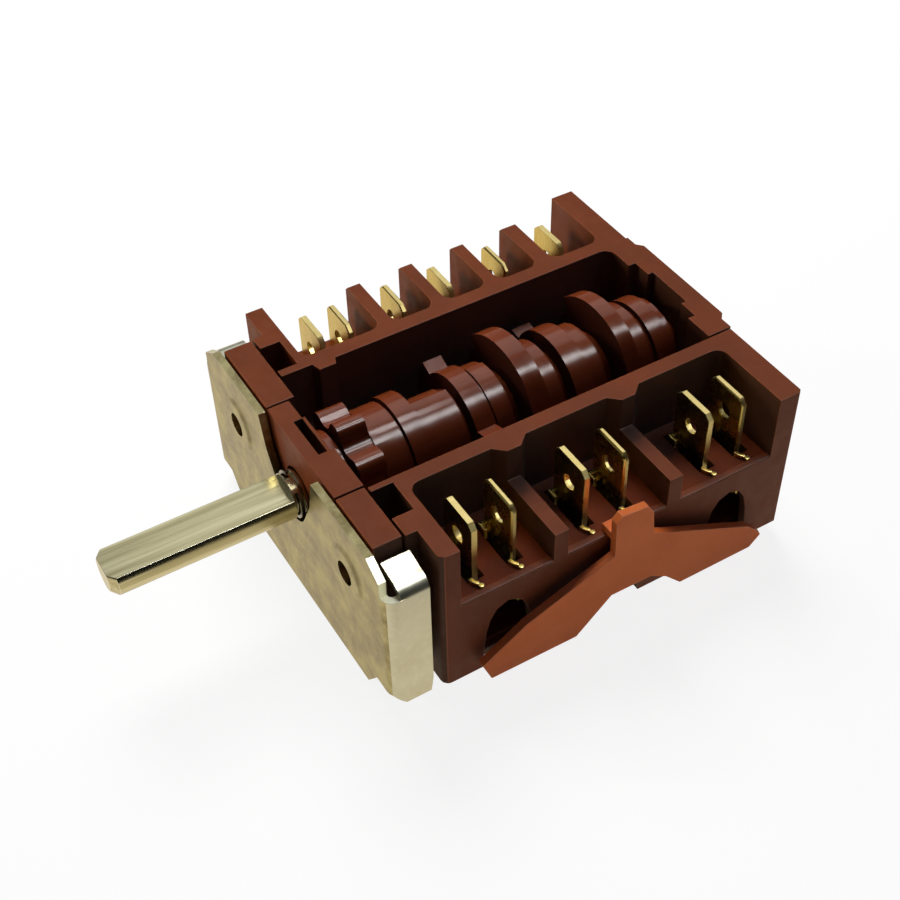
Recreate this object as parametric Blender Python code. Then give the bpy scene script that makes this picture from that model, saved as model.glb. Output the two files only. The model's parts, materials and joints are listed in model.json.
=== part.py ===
"""Oven selector switch: cam drum, detent, six cam-driven contacts and twelve tab terminals.

Lengths below are in millimetres and angles in degrees; every mesh is written in metres.
X runs across the switch, Y from the front plate to the rear, Z up.
Y is 0 on the front face of the plate. Z is 0 on the plate, AXIS_Z below the spindle.
"""

import math

import bmesh
import bpy
from mathutils import Matrix, Vector

MM = 0.001
GAP = 0.3
ROUND_STEPS = 48
PIN_STEPS = 10
CORNER_STEPS = 3
PAST = 5.0

# blades of the tab terminals, and the room between them and the walls of their bays
TAB_WIDTH = 6.3
TAB_T = 0.8
TAB_INSET_RIGHT = 1.85
TAB_INSET_LEFT = 3.75
TAB_OUTER_ROOM = 3.6

# spindle axis, trough, and from them the outer box of the housing
AXIS_Z = 10.0
TROUGH_HALF = 11.06
TROUGH_WALL_T = 2.19
BAY_WALL_X = TROUGH_HALF + TROUGH_WALL_T
TAB_RIGHT_X = BAY_WALL_X + TAB_INSET_RIGHT
TAB_LEFT_X = BAY_WALL_X + TAB_INSET_LEFT
HALF_WIDTH = TAB_RIGHT_X + TAB_WIDTH + TAB_OUTER_ROOM
RIM_HEIGHT = 8.12
BAY_DEPTH = 9.73
BODY_HEIGHT = 23.31
TOP_Z = AXIS_Z + RIM_HEIGHT
FLOOR_Z = TOP_Z - BAY_DEPTH
UNDER_Z = TOP_Z - BODY_HEIGHT
REAR_Y = 58.4
MAIN_FRONT_Y = 5.45
FLOOR_T = 1.3

# details of the trough that holds the cam drum
TROUGH_REAR_Y = 55.1
DETENT_WALL_X = TROUGH_HALF + 0.34
DETENT_ROOM_REAR_Y = 9.7
RIB_FRONT_Y = 10.1
RIB_REAR_Y = 12.4
RIB_X = TROUGH_HALF - 1.06
RIB_LEAN = 0.4
TROUGH_CORNER = 1.5
TROUGH_CLEAR = 0.8
RECESS_OUTER_HALF = 6.5
RECESS_OUTER_DEPTH = 1.1
RECESS_INNER_HALF = 3.6
RECESS_INNER_DEPTH = 1.9
JOURNAL_R = 2.6
JOURNAL_END_Y = 58.0
REAR_BOSS_Y = 59.5
REAR_BOSS_LEFT = -9.0
REAR_BOSS_RIGHT = 8.0
REAR_BOSS_CHAMFER = 0.9
REAR_STEP = 0.3
REAR_STEP_HALF = TROUGH_HALF + 0.64

# open terminal bays above the floor
BAY_CORNER = 1.4
LEFT_WALL_FRONT_Y = 9.3
LEFT_PARTITIONS = ((20.7, 22.6), (28.8, 30.6), (36.9, 38.7), (45.0, 47.3))
LEFT_BAY_REAR_Y = 55.0
LEFT_PARTITION_END_X = HALF_WIDTH - 1.8
PARTITION_CHAMFER = 0.6
RIGHT_FRONT_Y = 6.85
RIGHT_NOSE_X = HALF_WIDTH - 5.15
RIGHT_BAY_FRONT_Y = 9.4
RIGHT_BAY_REAR_Y = 55.0
RIGHT_CORNER_CUT = 0.4
RIGHT_PARTITIONS = ((22.2, 24.2), (38.8, 40.8))
RIGHT_PARTITION_TOP_Z = FLOOR_Z + 4.63
BULGE_X = BAY_WALL_X + 1.35
BULGE_WIDE = 2.45
BULGE_NARROW = 1.0
POCKET_Y = 8.22
POCKET_BOTTOM_Z = FLOOR_Z + 1.1
POCKET_RIGHT = (TROUGH_HALF + 0.83, BAY_WALL_X + 3.51)
POCKET_LEFT = (-BAY_WALL_X - 4.35, -TROUGH_HALF - 1.54)

# contact chambers below the floor
CHAMBER_IN_X = BAY_WALL_X + 0.95
CHAMBER_OUT_X = HALF_WIDTH - 1.2
RIGHT_CHAMBERS = ((8.4, 22.6), (23.9, 38.6), (40.0, 56.6))
LEFT_CHAMBERS = ((11.3, 22.3), (23.1, 38.2), (39.4, 56.6))
COVER_T = 1.2
SPIGOT_T = 0.7
SPIGOT_INSET = 0.8
ARCH_Y = (15.9, 32.0, 49.0)
ARCH_SHAPE = ((-3.6, -6.5), (-3.4, -1.9), (-3.1, 1.0), (-2.6, 3.1), (-1.6, 4.7), (0.0, 5.4),
              (1.6, 4.7), (2.6, 3.1), (3.1, 1.0), (3.4, -1.9), (3.6, -6.5))

# blocks behind the front plate
PLATE_T = 1.0
BLOCK_FRONT_Y = PLATE_T + GAP
BEARING_LEFT_X = -7.14
BEARING_RIGHT_X = TROUGH_HALF - 0.41
BLOCK_OUT_X = RIGHT_NOSE_X - 0.2
BLOCK_REAR_Y = MAIN_FRONT_Y - GAP
BEARING_STEP_X = -3.4
BEARING_STEP_Y = 4.2
SLOT_HALF = 3.3
SLOT_FRONT_Y = 3.0
SLOT_REAR_Y = 4.2
SLOT_DEPTH = 3.0

# front plate
PLATE_HALF = HALF_WIDTH - 0.4
PLATE_TOP_Z = TOP_Z - 0.25
PLATE_CHAMFER_X = PLATE_HALF - 4.3
PLATE_CHAMFER_Z = TOP_Z - 3.0
PLATE_SIDE_LOW_Z = UNDER_Z + 1.61
PLATE_STEP_HIGH_X = PLATE_HALF - 4.0
PLATE_STEP_X = PLATE_HALF - 6.5
PLATE_BOTTOM_Z = UNDER_Z - 1.79
PLATE_FOLD_R = 1.6
FLANGE_REAR_Y = 5.6
FLANGE_TOP_Z = TOP_Z - 2.9
FLANGE_BOTTOM_Z = UNDER_Z + 0.01
FLANGE_CHAMFER_Y = 0.35
FLANGE_CHAMFER_Z = 2.5
FOLD_STEPS = 5
EAR_IN_X = PLATE_HALF - 4.65
EAR_FRONT_Y = 1.85
EAR_RELIEF = 1.3
NOTCH_TOP_HALF = 7.2
NOTCH_MID_HALF = 5.9
NOTCH_MID_Z = TOP_Z - 5.0
NOTCH_ARC_R = 4.2
NOTCH_ARC_Z = TOP_Z - 7.4
FIXING_X = PLATE_HALF - 9.9
FIXING_R = 1.65
FIXING_RING_R = 3.9
FIXING_RING_H = 0.25

# spindle and its retaining ring
SPINDLE_R = 3.0
SPINDLE_TIP_Y = -24.3
SPINDLE_END_Y = 16.0
SPINDLE_FLAT = 1.4
SPINDLE_FLAT_END_Y = -0.5
SPINDLE_CHAMFER = 0.9
RING_GROOVE_R = 2.5
RING_GROOVE_Y = (-0.4, 0.85)
RING_R = 3.2
RING_Y = 0.1
RING_T = 0.4
RING_START = 105.0
RING_SWEEP = 300.0
RING_STEPS = 24

# cam drum
DRUM_FRONT_Y = 4.9
STAR_FRONT_Y = 6.8
STAR_REAR_Y = 10.5
STAR_TEETH = 8
STAR_MEAN_R = 7.25
STAR_WAVE = 0.85
STAR_POINTS = 12
STAR_FIRST = 44.5
LOBE_R = 8.65
TALL_R = 9.7
RISE = 1.7
FLANK = 3.0
DRUM_END_Y = 55.6

# each drum ring: rear edge, base radius and lobes as start angle, end angle, radius, length of the rise
DRUM_RINGS = (
    (6.4, 6.0, ()),
    (6.8, 5.2, ()),
    (10.5, 6.0, ()),
    (14.2, 6.7, ()),
    (14.5, 6.2, ()),
    (17.0, 7.1, ((232.0, 308.0, LOBE_R, FLANK),)),
    (22.3, 5.2, ((-60.0, 92.0, 6.7, FLANK),)),
    (23.3, 4.9, ()),
    (26.0, 7.1, ((142.0, 391.0, 8.9, FLANK),)),
    (26.4, 6.5, ()),
    (28.9, 6.5, ((-150.0, 109.0, 6.85, FLANK),)),
    (30.4, 4.9, ()),
    (33.1, TALL_R - RISE, ((-15.0, 138.0, TALL_R, 75.0),)),
    (34.0, 6.8, ()),
    (36.4, 6.8, ((232.0, 308.0, LOBE_R, FLANK),)),
    (37.8, 4.9, ()),
    (40.6, 7.5, ((157.0, 280.0, 9.2, FLANK),)),
    (43.1, 6.6, ()),
    (44.8, 4.9, ()),
    (47.0, TALL_R - RISE, ((-15.0, 138.0, TALL_R, 75.0),)),
    (50.2, 6.95, ((232.0, 308.0, LOBE_R, FLANK),)),
    (51.1, 6.0, ()),
    (53.4, 6.8, ()),
    (54.6, 6.0, ()),
    (DRUM_END_Y, 4.6, ()),
    (JOURNAL_END_Y - GAP, JOURNAL_R, ()),
)

# contacts: names, side, tappet, cam radius, fixed tab, moving tab, leaf root, contact point along Y
CONTACTS = (
    ("r1", 1, 15.75, LOBE_R, 13.4, 18.9, 21.4, 11.9),
    ("r2", 1, 31.75, TALL_R, 29.1, 34.9, 37.3, 27.5),
    ("r3", 1, 45.70, TALL_R, 47.5, 52.75, 54.9, 49.3),
    ("l1", -1, 16.00, LOBE_R, 13.9, 18.1, 21.2, 12.5),
    ("l2", -1, 35.40, LOBE_R, 33.6, 26.2, 24.2, 31.6),
    ("l3", -1, 48.60, LOBE_R, 51.4, 42.4, 40.5, 53.2),
)
TAPPET_ANGLE = 30.0
TAPPET_R = 0.9
TAPPET_COLLAR_R = 1.3
TAPPET_COLLAR_T = 0.6
TAPPET_COLLAR_BACK = 1.3
TAPPET_TIP_R = 0.4
TAPPET_TIP = 0.6
LEAF_U = BAY_WALL_X + 8.55
LEAF_T = 0.3
LEAF_HALF = 1.5
LEAF_OVER = 0.8
LEAF_PAST = 1.3
RIVET_R = 0.85
RIVET_H = 0.4
LUG_T = 0.6

# tops, feet and floor slots of the tab terminals
FOOT_IN_X = TAB_RIGHT_X
FOOT_OUT_X = HALF_WIDTH - 2.2
TAB_TOP_Z = TOP_Z - 1.8
TAB_CHAMFER = 0.8
TAB_HOLE_R = 1.1
TAB_HOLE_DROP = 3.9
TAB_FOOT_Z = FLOOR_Z - FLOOR_T - 0.5
SLOT_AHEAD = 1.6
SLOT_BEHIND = 0.7
SLOT_OVER = 1.0

# detent plunger and spring
DETENT_ANGLE = 202.0
DETENT_Y = 8.65
DETENT_R = 1.15
DETENT_NOSE_R = 8.4
DETENT_TAIL_R = TROUGH_HALF + 3.34
DETENT_BORE_END = BAY_WALL_X + 8.25
SPRING_R = 0.75
SPRING_WIRE_R = 0.2
SPRING_TURNS = 5
SPRING_STEPS = 10

# latch clip on the side of the right block
CLIP_OUT_X = HALF_WIDTH + 2.2
CLIP_T = 1.1
CLIP_NECK = (29.8, 34.6)
CLIP_HOOK_IN_X = HALF_WIDTH - 1.1
CLIP_HOOK_T = 1.1
CLIP_ARCH_HALF = 2.0
CLIP_ARCH_Z = (-0.1, 1.6)
CLIP_ARCH_IN_X = HALF_WIDTH - 2.1
CLIP_SHAPE = ((10.9, -1.6), (12.2, -4.9), (24.6, -5.1), (29.6, -0.3), (35.6, -0.4), (38.1, -2.0),
              (40.6, -4.7), (51.9, -4.7), (53.5, -3.1), (53.0, -2.1), (50.9, -0.1), (35.3, 7.8),
              (34.9, 11.8), (34.0, 13.3), (30.2, 13.7), (29.4, 12.8), (29.6, 7.0), (17.1, 2.3))


def make_object(name, verts, faces):
    """Make a closed mesh object from points in millimetres."""
    mesh = bpy.data.meshes.new(name)
    mesh.from_pydata([tuple(value * MM for value in vert) for vert in verts], [], faces)
    work = bmesh.new()
    work.from_mesh(mesh)
    bmesh.ops.recalc_face_normals(work, faces=work.faces)
    work.to_mesh(mesh)
    work.free()
    result = bpy.data.objects.new(name, mesh)
    bpy.context.scene.collection.objects.link(result)
    return result


def loft(name, loops):
    """Close a row of equal rings of points into one solid."""
    count = len(loops[0])
    verts = [point for loop in loops for point in loop]
    faces = [tuple(range(count)), tuple(range(len(verts) - count, len(verts)))]
    for row in range(len(loops) - 1):
        start = row * count
        for step in range(count):
            after = (step + 1) % count
            faces.append((start + step, start + after, start + count + after, start + count + step))
    return make_object(name, verts, faces)


def prism_y(name, outline, front, rear):
    """Extrude an outline of (x, z) points along Y."""
    return loft(name, [[(x, y, z) for x, z in outline] for y in (front, rear)])


def prism_x(name, outline, left, right):
    """Extrude an outline of (y, z) points along X."""
    return loft(name, [[(x, y, z) for y, z in outline] for x in (left, right)])


def prism_z(name, outline, low, high):
    """Extrude an outline of (x, y) points along Z."""
    return loft(name, [[(x, y, z) for x, y in outline] for z in (low, high)])


def box(name, x_range, y_range, z_range):
    """Make a box from its three ranges."""
    x0, x1 = sorted(x_range)
    outline = ((x0, y_range[0]), (x1, y_range[0]), (x1, y_range[1]), (x0, y_range[1]))
    return prism_z(name, outline, *z_range)


def turned(name, profile, centre=(0.0, AXIS_Z), steps=ROUND_STEPS):
    """Turn (y, radius) pairs about a line along Y."""
    loops = []
    for y, radius in profile:
        loops.append([(centre[0] + radius * math.cos(angle), y, centre[1] + radius * math.sin(angle))
                      for angle in (2 * math.pi * step / steps for step in range(steps))])
    return loft(name, loops)


def radial(angle, distance, side_step=0.0):
    """Return (x, z) at a distance from the spindle axis, stepped sideways across that ray."""
    turn = math.radians(angle)
    return (distance * math.cos(turn) - side_step * math.sin(turn),
            AXIS_Z + distance * math.sin(turn) + side_step * math.cos(turn))


def radial_turned(name, profile, angle, y, steps=PIN_STEPS):
    """Turn (distance, radius) pairs about a ray from the spindle axis."""
    loops = []
    for distance, radius in profile:
        loop = []
        for step in range(steps):
            turn = 2 * math.pi * step / steps
            x, z = radial(angle, distance, radius * math.sin(turn))
            loop.append((x, y + radius * math.cos(turn), z))
        loops.append(loop)
    return loft(name, loops)


def combine(target, tools, operation):
    """Apply one Boolean per tool to the target and remove the tools."""
    for tool in tools:
        modifier = target.modifiers.new("combine", "BOOLEAN")
        modifier.operation = operation
        modifier.solver = "EXACT"
        modifier.object = tool
        graph = bpy.context.evaluated_depsgraph_get()
        mesh = bpy.data.meshes.new_from_object(target.evaluated_get(graph))
        target.modifiers.clear()
        old = target.data
        target.data = mesh
        bpy.data.meshes.remove(old)
        spare = tool.data
        bpy.data.objects.remove(tool)
        bpy.data.meshes.remove(spare)
    return target


def cut(target, tools):
    """Take the tools away from the target."""
    return combine(target, tools, "DIFFERENCE")


def join(target, tools):
    """Make the target and the tools one body."""
    return combine(target, tools, "UNION")


def rounded(outline, radius, which):
    """Round the chosen corners of an outline."""
    result = []
    for index, corner in enumerate(outline):
        if index not in which:
            result.append(corner)
            continue
        here = Vector(corner)
        to_last = (Vector(outline[index - 1]) - here).normalized()
        to_next = (Vector(outline[(index + 1) % len(outline)]) - here).normalized()
        half = to_last.angle(to_next) / 2
        start = here + to_last * radius / math.tan(half)
        end = here + to_next * radius / math.tan(half)
        centre = here + (to_last + to_next).normalized() * radius / math.sin(half)
        for step in range(CORNER_STEPS + 1):
            arm = (start - centre).lerp(end - centre, step / CORNER_STEPS).normalized() * radius
            result.append(tuple(centre + arm))
    return result


def mirror_x(outline, side):
    """Mirror an outline to the chosen side of the switch."""
    return [(x * side, other) for x, other in outline]


def finish(target, colour, roughness, metallic, angle=35.0):
    """Give the object its material and smooth its round faces."""
    material = bpy.data.materials.new(target.name)
    material.use_nodes = True
    shader = material.node_tree.nodes["Principled BSDF"]
    shader.inputs["Base Color"].default_value = (*colour, 1.0)
    shader.inputs["Roughness"].default_value = roughness
    shader.inputs["Metallic"].default_value = metallic
    target.data.materials.clear()
    target.data.materials.append(material)
    target.data.shade_smooth()
    target.data.set_sharp_from_angle(angle=math.radians(angle))
    return target


def brown(target, colour=(0.17, 0.045, 0.018)):
    """Finish a moulding in the brown plastic."""
    return finish(target, colour, 0.5, 0.0)


def set_origin(target, point):
    """Move the object's origin to a point in millimetres without moving its mesh."""
    offset = Vector(point) * MM
    target.data.transform(Matrix.Translation(-offset))
    target.location = offset


def trough_outline():
    """Plan outline of the drum trough, open to the front and to the right block."""
    past = TROUGH_HALF + PAST
    outer_y = TROUGH_REAR_Y + RECESS_OUTER_DEPTH
    inner_y = TROUGH_REAR_Y + RECESS_INNER_DEPTH
    return rounded(((past, 0.0), (past, TROUGH_REAR_Y), (RECESS_OUTER_HALF, TROUGH_REAR_Y),
                    (RECESS_OUTER_HALF, outer_y), (RECESS_INNER_HALF, outer_y), (RECESS_INNER_HALF, inner_y),
                    (-RECESS_INNER_HALF, inner_y), (-RECESS_INNER_HALF, outer_y),
                    (-RECESS_OUTER_HALF, outer_y), (-RECESS_OUTER_HALF, TROUGH_REAR_Y),
                    (-TROUGH_HALF, TROUGH_REAR_Y),
                    (-TROUGH_HALF, RIB_REAR_Y + RIB_LEAN), (-RIB_X, RIB_REAR_Y), (-RIB_X, RIB_FRONT_Y),
                    (-DETENT_WALL_X, DETENT_ROOM_REAR_Y), (-DETENT_WALL_X, 0.0)), TROUGH_CORNER, (10,))


def bay_outline(front, rear, side):
    """Plan outline of one terminal bay, open outwards."""
    past = HALF_WIDTH + PAST
    outline = rounded(((past, front), (past, rear), (BAY_WALL_X, rear), (BAY_WALL_X, front)),
                      BAY_CORNER, (2, 3))
    return mirror_x(outline, side)


def tab_inner(side):
    """Distance from the middle plane to the inner edge of the tabs on one side."""
    return TAB_RIGHT_X if side > 0 else TAB_LEFT_X


def tab_outline(side):
    """Upper outline of a tab, from its inner edge over the top to its outer edge."""
    inner = tab_inner(side)
    outer = inner + TAB_WIDTH
    return [(inner, TAB_FOOT_Z), (inner, TAB_TOP_Z - TAB_CHAMFER), (inner + TAB_CHAMFER, TAB_TOP_Z),
            (outer - TAB_CHAMFER, TAB_TOP_Z), (outer, TAB_TOP_Z - TAB_CHAMFER), (outer, TAB_FOOT_Z)]


def tab_hole(side, tab):
    """Cutter for the hole that the spring of a receptacle drops into."""
    centre = (side * (tab_inner(side) + TAB_WIDTH / 2), TAB_TOP_Z - TAB_HOLE_DROP)
    return turned("hole", ((tab - TAB_T, TAB_HOLE_R), (tab + TAB_T, TAB_HOLE_R)), centre, PIN_STEPS)


def chamber_tools(chambers, tabs, side):
    """Cutters for the contact chambers, the seat of their cover, the arches and the slots under the tabs."""
    roof = FLOOR_Z - FLOOR_T
    tools = []
    for front, rear in chambers:
        tools.append(box("chamber", (side * CHAMBER_IN_X, side * CHAMBER_OUT_X), (front, rear),
                         (UNDER_Z - PAST, roof)))
    tools.append(box("cover_seat", (side * CHAMBER_IN_X, side * CHAMBER_OUT_X),
                     (chambers[0][0], chambers[-1][1]), (UNDER_Z - PAST, UNDER_Z + COVER_T + GAP)))
    for centre in ARCH_Y:
        outline = [(centre + y, z) for y, z in ARCH_SHAPE]
        left, right = sorted((side * (CHAMBER_OUT_X - 0.5), side * (HALF_WIDTH + PAST)))
        tools.append(prism_x("arch", outline, left, right))
    inner = tab_inner(side) - GAP
    outer = tab_inner(side) + TAB_WIDTH + (SLOT_OVER if side > 0 else GAP)
    for tab in tabs:
        tools.append(box("slot", (side * inner, side * outer),
                         (tab - SLOT_AHEAD, tab + SLOT_BEHIND), (roof - 0.5, FLOOR_Z + 0.5)))
    return tools


def tappet_angle(side):
    """Angle of the tappets' ray on one side, measured from +X towards +Z."""
    return -TAPPET_ANGLE if side > 0 else 180.0 + TAPPET_ANGLE


def tappet_bores(side):
    """Cutters for the guide holes between the trough and the chambers."""
    tools = []
    for contact in CONTACTS:
        if contact[1] == side:
            profile = ((TROUGH_HALF - 1.0, TAPPET_R + GAP), (CHAMBER_IN_X + 4.0, TAPPET_R + GAP))
            tools.append(radial_turned("bore", profile, tappet_angle(side), contact[2]))
    return tools


def side_tabs(side):
    """Positions along Y of all tabs on one side."""
    return sorted(value for contact in CONTACTS if contact[1] == side for value in contact[4:6])


def build_main_housing():
    """Left terminal bays, drum trough and rear wall in one moulding."""
    seam = TROUGH_HALF - GAP
    body = box("main_housing", (-HALF_WIDTH, seam), (MAIN_FRONT_Y, REAR_Y), (UNDER_Z, TOP_Z))
    step = box("step", (-REAR_STEP_HALF, seam), (REAR_Y - 1.0, REAR_Y + REAR_STEP), (UNDER_Z, TOP_Z))
    wide = REAR_BOSS_CHAMFER
    boss = prism_z("boss", ((REAR_BOSS_LEFT - wide, REAR_Y - 0.5), (REAR_BOSS_RIGHT + wide, REAR_Y - 0.5),
                            (REAR_BOSS_RIGHT + wide, REAR_Y + REAR_STEP),
                            (REAR_BOSS_RIGHT, REAR_BOSS_Y), (REAR_BOSS_LEFT, REAR_BOSS_Y),
                            (REAR_BOSS_LEFT - wide, REAR_Y + REAR_STEP)), UNDER_Z, TOP_Z)
    join(body, [step, boss])
    trough_floor = AXIS_Z - TALL_R - TROUGH_CLEAR
    tools = [prism_z("trough", trough_outline(), trough_floor, TOP_Z + PAST)]
    tools.append(turned("journal", ((TROUGH_REAR_Y, JOURNAL_R + GAP), (JOURNAL_END_Y, JOURNAL_R + GAP)),
                        steps=24))
    walls = (LEFT_WALL_FRONT_Y,) + tuple(y for pair in LEFT_PARTITIONS for y in pair) + (LEFT_BAY_REAR_Y,)
    for front, rear in zip(walls[::2], walls[1::2]):
        tools.append(prism_z("bay", bay_outline(front, rear, -1), FLOOR_Z, TOP_Z + PAST))
    end = LEFT_PARTITION_END_X
    past = HALF_WIDTH + PAST
    shoulder = -end + PARTITION_CHAMFER
    strip = ((-past, FLOOR_Z), (-end, FLOOR_Z), (-end, TOP_Z - PARTITION_CHAMFER),
             (shoulder, TOP_Z), (shoulder, TOP_Z + 1.0), (-past, TOP_Z + 1.0))
    tools.append(prism_y("strip", strip, LEFT_WALL_FRONT_Y, LEFT_BAY_REAR_Y))
    tools.append(box("corner", (-HALF_WIDTH - PAST, -RIGHT_NOSE_X), (0.0, RIGHT_FRONT_Y),
                     (UNDER_Z - PAST, TOP_Z + PAST)))
    tools.append(box("pocket", POCKET_LEFT, (MAIN_FRONT_Y - 1.0, POCKET_Y), (POCKET_BOTTOM_Z, TOP_Z + PAST)))
    tools += chamber_tools(LEFT_CHAMBERS, side_tabs(-1), -1)
    tools += tappet_bores(-1)
    tools.append(radial_turned("detent", ((DETENT_WALL_X - 1.0, DETENT_R + GAP),
                                          (DETENT_BORE_END, DETENT_R + GAP)), DETENT_ANGLE, DETENT_Y))
    return brown(cut(body, tools))


def bulge(name, centre):
    """Thickened wall root where a partition of the right block meets the trough wall."""
    outline = ((BAY_WALL_X - 0.5, centre - BULGE_WIDE), (BAY_WALL_X, centre - BULGE_WIDE),
               (BULGE_X, centre - BULGE_NARROW), (BULGE_X, centre + BULGE_NARROW),
               (BAY_WALL_X, centre + BULGE_WIDE), (BAY_WALL_X - 0.5, centre + BULGE_WIDE))
    return prism_z(name, outline, FLOOR_Z - 0.5, TOP_Z)


def build_right_block():
    """Right trough wall with three terminal bays and the contact chambers below."""
    plan = rounded(((TROUGH_HALF, MAIN_FRONT_Y - 0.1), (RIGHT_NOSE_X, MAIN_FRONT_Y - 0.1),
                    (RIGHT_NOSE_X, RIGHT_FRONT_Y), (HALF_WIDTH, RIGHT_FRONT_Y),
                    (HALF_WIDTH, REAR_Y - RIGHT_CORNER_CUT), (HALF_WIDTH - RIGHT_CORNER_CUT, REAR_Y),
                    (TROUGH_HALF, REAR_Y)), 1.0, (3,))
    body = prism_z("right_contact_block", plan, UNDER_Z, TOP_Z)
    tools = [prism_z("bay", bay_outline(RIGHT_BAY_FRONT_Y, RIGHT_BAY_REAR_Y, 1), FLOOR_Z, TOP_Z + PAST)]
    tools.append(box("pocket", POCKET_RIGHT, (0.0, POCKET_Y), (POCKET_BOTTOM_Z, TOP_Z + PAST)))
    cut(body, tools)
    adds = []
    for front, rear in RIGHT_PARTITIONS:
        adds.append(box("wall", (BAY_WALL_X - 0.5, HALF_WIDTH), (front, rear),
                        (FLOOR_Z - 0.5, RIGHT_PARTITION_TOP_Z)))
        adds.append(bulge("bulge", (front + rear) / 2))
    join(body, adds)
    return brown(cut(body, chamber_tools(RIGHT_CHAMBERS, side_tabs(1), 1) + tappet_bores(1)))


def build_base_cover(name, chambers, side):
    """Cover that closes the contact chambers of one side from below, with a spigot in each chamber."""
    inner = side * (CHAMBER_IN_X + GAP)
    outer = side * (CHAMBER_OUT_X - GAP)
    top = UNDER_Z + COVER_T
    cover = box(name, (inner, outer), (chambers[0][0] + GAP, chambers[-1][1] - GAP), (UNDER_Z, top))
    inset = side * SPIGOT_INSET
    spigots = [box("spigot", (inner + inset, outer - inset), (front + SPIGOT_INSET, rear - SPIGOT_INSET),
                   (top - COVER_T / 2, top + SPIGOT_T)) for front, rear in chambers]
    return brown(join(cover, spigots))


def build_front_blocks():
    """Blocks behind the front plate, the middle one carrying the spindle."""
    left = box("front_block_left", (-BLOCK_OUT_X, BEARING_LEFT_X - GAP / 2),
               (BLOCK_FRONT_Y, BLOCK_REAR_Y), (UNDER_Z, TOP_Z))
    right = box("front_block_right", (BEARING_RIGHT_X + GAP / 2, BLOCK_OUT_X),
                (BLOCK_FRONT_Y, BLOCK_REAR_Y - 0.1), (UNDER_Z, TOP_Z))
    plan = ((BEARING_LEFT_X + GAP / 2, BLOCK_FRONT_Y), (BEARING_RIGHT_X - GAP / 2, BLOCK_FRONT_Y),
            (BEARING_RIGHT_X - GAP / 2, BLOCK_REAR_Y), (-BEARING_STEP_X, BLOCK_REAR_Y),
            (-BEARING_STEP_X, DRUM_FRONT_Y - GAP), (BEARING_STEP_X, DRUM_FRONT_Y - GAP),
            (BEARING_STEP_X, BEARING_STEP_Y), (BEARING_LEFT_X + GAP / 2, BEARING_STEP_Y))
    bearing = prism_z("bearing_block", plan, UNDER_Z, TOP_Z)
    drum_room = turned("room", ((DRUM_FRONT_Y - GAP, DRUM_RINGS[0][1] + GAP),
                                (DRUM_FRONT_Y + PAST, DRUM_RINGS[0][1] + GAP)))
    bore = turned("bore", ((0.0, SPINDLE_R + GAP), (PAST + 2.0, SPINDLE_R + GAP)), steps=32)
    slot = box("slot", (-SLOT_HALF, SLOT_HALF), (SLOT_FRONT_Y, SLOT_REAR_Y), (TOP_Z - SLOT_DEPTH, TOP_Z + 1))
    cut(bearing, [drum_room, bore, slot])
    return [brown(left), brown(right), brown(bearing)]


def plate_outline():
    """Front outline of the plate between its two folds."""
    edge = PLATE_HALF - PLATE_FOLD_R
    drop = (edge - PLATE_CHAMFER_X) / (PLATE_HALF - PLATE_CHAMFER_X)
    corner = PLATE_TOP_Z + (PLATE_CHAMFER_Z - PLATE_TOP_Z) * drop
    right = ((PLATE_CHAMFER_X, PLATE_TOP_Z), (edge, corner), (edge, PLATE_SIDE_LOW_Z),
             (PLATE_STEP_HIGH_X, PLATE_SIDE_LOW_Z), (PLATE_STEP_X, PLATE_BOTTOM_Z))
    return list(right) + [(-x, z) for x, z in reversed(right)]


def notch_outline():
    """Open notch in the plate around the spindle."""
    arc = []
    for step in range(9):
        turn = math.radians(200.0 + 140.0 * step / 8)
        arc.append((NOTCH_ARC_R * math.cos(turn), NOTCH_ARC_Z + NOTCH_ARC_R * math.sin(turn)))
    return ([(-NOTCH_TOP_HALF, TOP_Z + 1.0), (-NOTCH_MID_HALF, NOTCH_MID_Z)] + arc
            + [(NOTCH_MID_HALF, NOTCH_MID_Z), (NOTCH_TOP_HALF, TOP_Z + 1.0)])


def fold_arc(centre, radius, start, end):
    """Points along an arc of a folded edge."""
    turns = [math.radians(start + (end - start) * step / FOLD_STEPS) for step in range(FOLD_STEPS + 1)]
    return [(centre[0] + radius * math.cos(turn), centre[1] + radius * math.sin(turn)) for turn in turns]


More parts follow.
